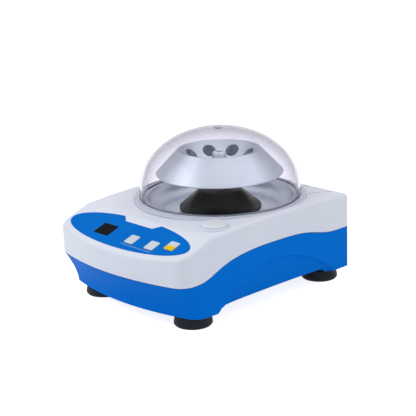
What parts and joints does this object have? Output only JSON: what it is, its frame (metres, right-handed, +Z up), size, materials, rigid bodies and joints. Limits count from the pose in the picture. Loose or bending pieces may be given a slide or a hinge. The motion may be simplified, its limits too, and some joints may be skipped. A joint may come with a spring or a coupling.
{
  "type": "mini centrifuge",
  "caption": "Benchtop mini centrifuge: two-part housing on suction feet, clear domed lid with push-button latch, angle rotor in a steel bowl.",
  "frame": {"origin": "on the table under the middle of the housing", "axes": "+X to the right of someone at the keypad, +Y to the back and the hinge, +Z up"},
  "size_m": [0.144, 0.1924, 0.1282],
  "materials": {
    "white_shell": "satin",
    "blue_shell": "satin",
    "clear_lid": "clear moulded",
    "bowl_steel": "brushed",
    "rotor_alloy": "satin anodised",
    "black_gloss": "gloss",
    "black_plastic": "matte",
    "foot_rubber": "matte",
    "white_button": "satin",
    "overlay_blue": "satin film",
    "key_white": "satin film",
    "display_black": "gloss",
    "screw_steel": "plated",
    "steel": "zinc plated",
    "board_green": "solder mask",
    "magnet": "dull",
    "seal_silicone": "translucent silicone"
  },
  "bodies": {
    "base": {"upper_housing": "white_shell", "lower_housing": "blue_shell", "foot_front_left": "foot_rubber", "foot_front_right": "foot_rubber", "foot_rear_left": "foot_rubber", "foot_rear_right": "foot_rubber", "foot_screws": "screw_steel", "housing_screws": "screw_steel", "chamber_bowl": "bowl_steel", "motor_cover": "black_gloss", "cover_screws": "screw_steel", "motor_magnets": "magnet", "motor_can": "steel", "motor_end_cap": "black_plastic", "motor_bearings": "screw_steel", "motor_bracket": "steel", "motor_screws": "screw_steel", "motor_dampers": "foot_rubber", "damper_screws": "screw_steel", "hinge_pin": "screw_steel", "lid_seal": "seal_silicone", "latch_guide": "black_plastic", "guide_screws": "screw_steel", "latch_spring": "screw_steel", "button_spring": "screw_steel", "keypad_overlay": "overlay_blue", "display_window": "display_black", "display_module": "black_plastic", "control_board": "board_green", "tact_switches": "black_plastic", "board_screws": "screw_steel", "power_socket": "black_plastic", "socket_pin": "screw_steel", "switch_frame": "black_plastic"},
    "lid": {"lid": "clear_lid", "lid_hook": "white_button"},
    "rotor": {"rotor": "rotor_alloy", "rotor_nut": "rotor_alloy", "motor_shaft": "steel", "motor_armature": "steel"},
    "button": {"lid_button": "white_button"},
    "latch": {"latch_slider": "white_button"},
    "key_left": {"key_left": "key_white"},
    "key_middle": {"key_middle": "key_white"},
    "key_right": {"key_right": "key_white"},
    "rocker": {"power_rocker": "black_gloss"}
  },
  "joints": [
    {"name": "lid_hinge", "type": "hinge", "parent": "base", "child": "lid", "pos_m": [0, 0.09225, 0.067], "axis": [-1, 0, 0], "range_deg": [0, 85]},
    {"name": "rotor_spin", "type": "hinge", "parent": "base", "child": "rotor", "pos_m": [0, 0.02225, 0.09], "axis": [0, 0, 1], "continuous": true},
    {"name": "button_press", "type": "slide", "parent": "base", "child": "button", "axis": [0, 0, -1], "range_m": [0, 0.002], "stiffness_N_per_m": 600, "springref_m": -0.001, "deforming": ["button_spring"]},
    {"name": "latch_slide", "type": "slide", "parent": "base", "child": "latch", "axis": [0.6769, -0.7361, 0], "range_m": [0, 0.002], "stiffness_N_per_m": 300, "springref_m": -0.001, "deforming": ["latch_spring"]},
    {"name": "key_left_press", "type": "slide", "parent": "base", "child": "key_left", "axis": [0, 0.342, -0.9397], "range_m": [0, 0.0004], "stiffness_N_per_m": 1500, "springref_m": -0.0003},
    {"name": "key_middle_press", "type": "slide", "parent": "base", "child": "key_middle", "axis": [0, 0.342, -0.9397], "range_m": [0, 0.0004], "stiffness_N_per_m": 1500, "springref_m": -0.0003},
    {"name": "key_right_press", "type": "slide", "parent": "base", "child": "key_right", "axis": [0, 0.342, -0.9397], "range_m": [0, 0.0004], "stiffness_N_per_m": 1500, "springref_m": -0.0003},
    {"name": "power_switch", "type": "hinge", "parent": "base", "child": "rocker", "pos_m": [-0.008, 0.09195, 0.028], "axis": [-1, 0, 0], "range_deg": [0, 18]}
  ],
  "couplings": [
    {"joint": "latch_slide", "follows": "button_press", "ratio": 1}
  ]
}
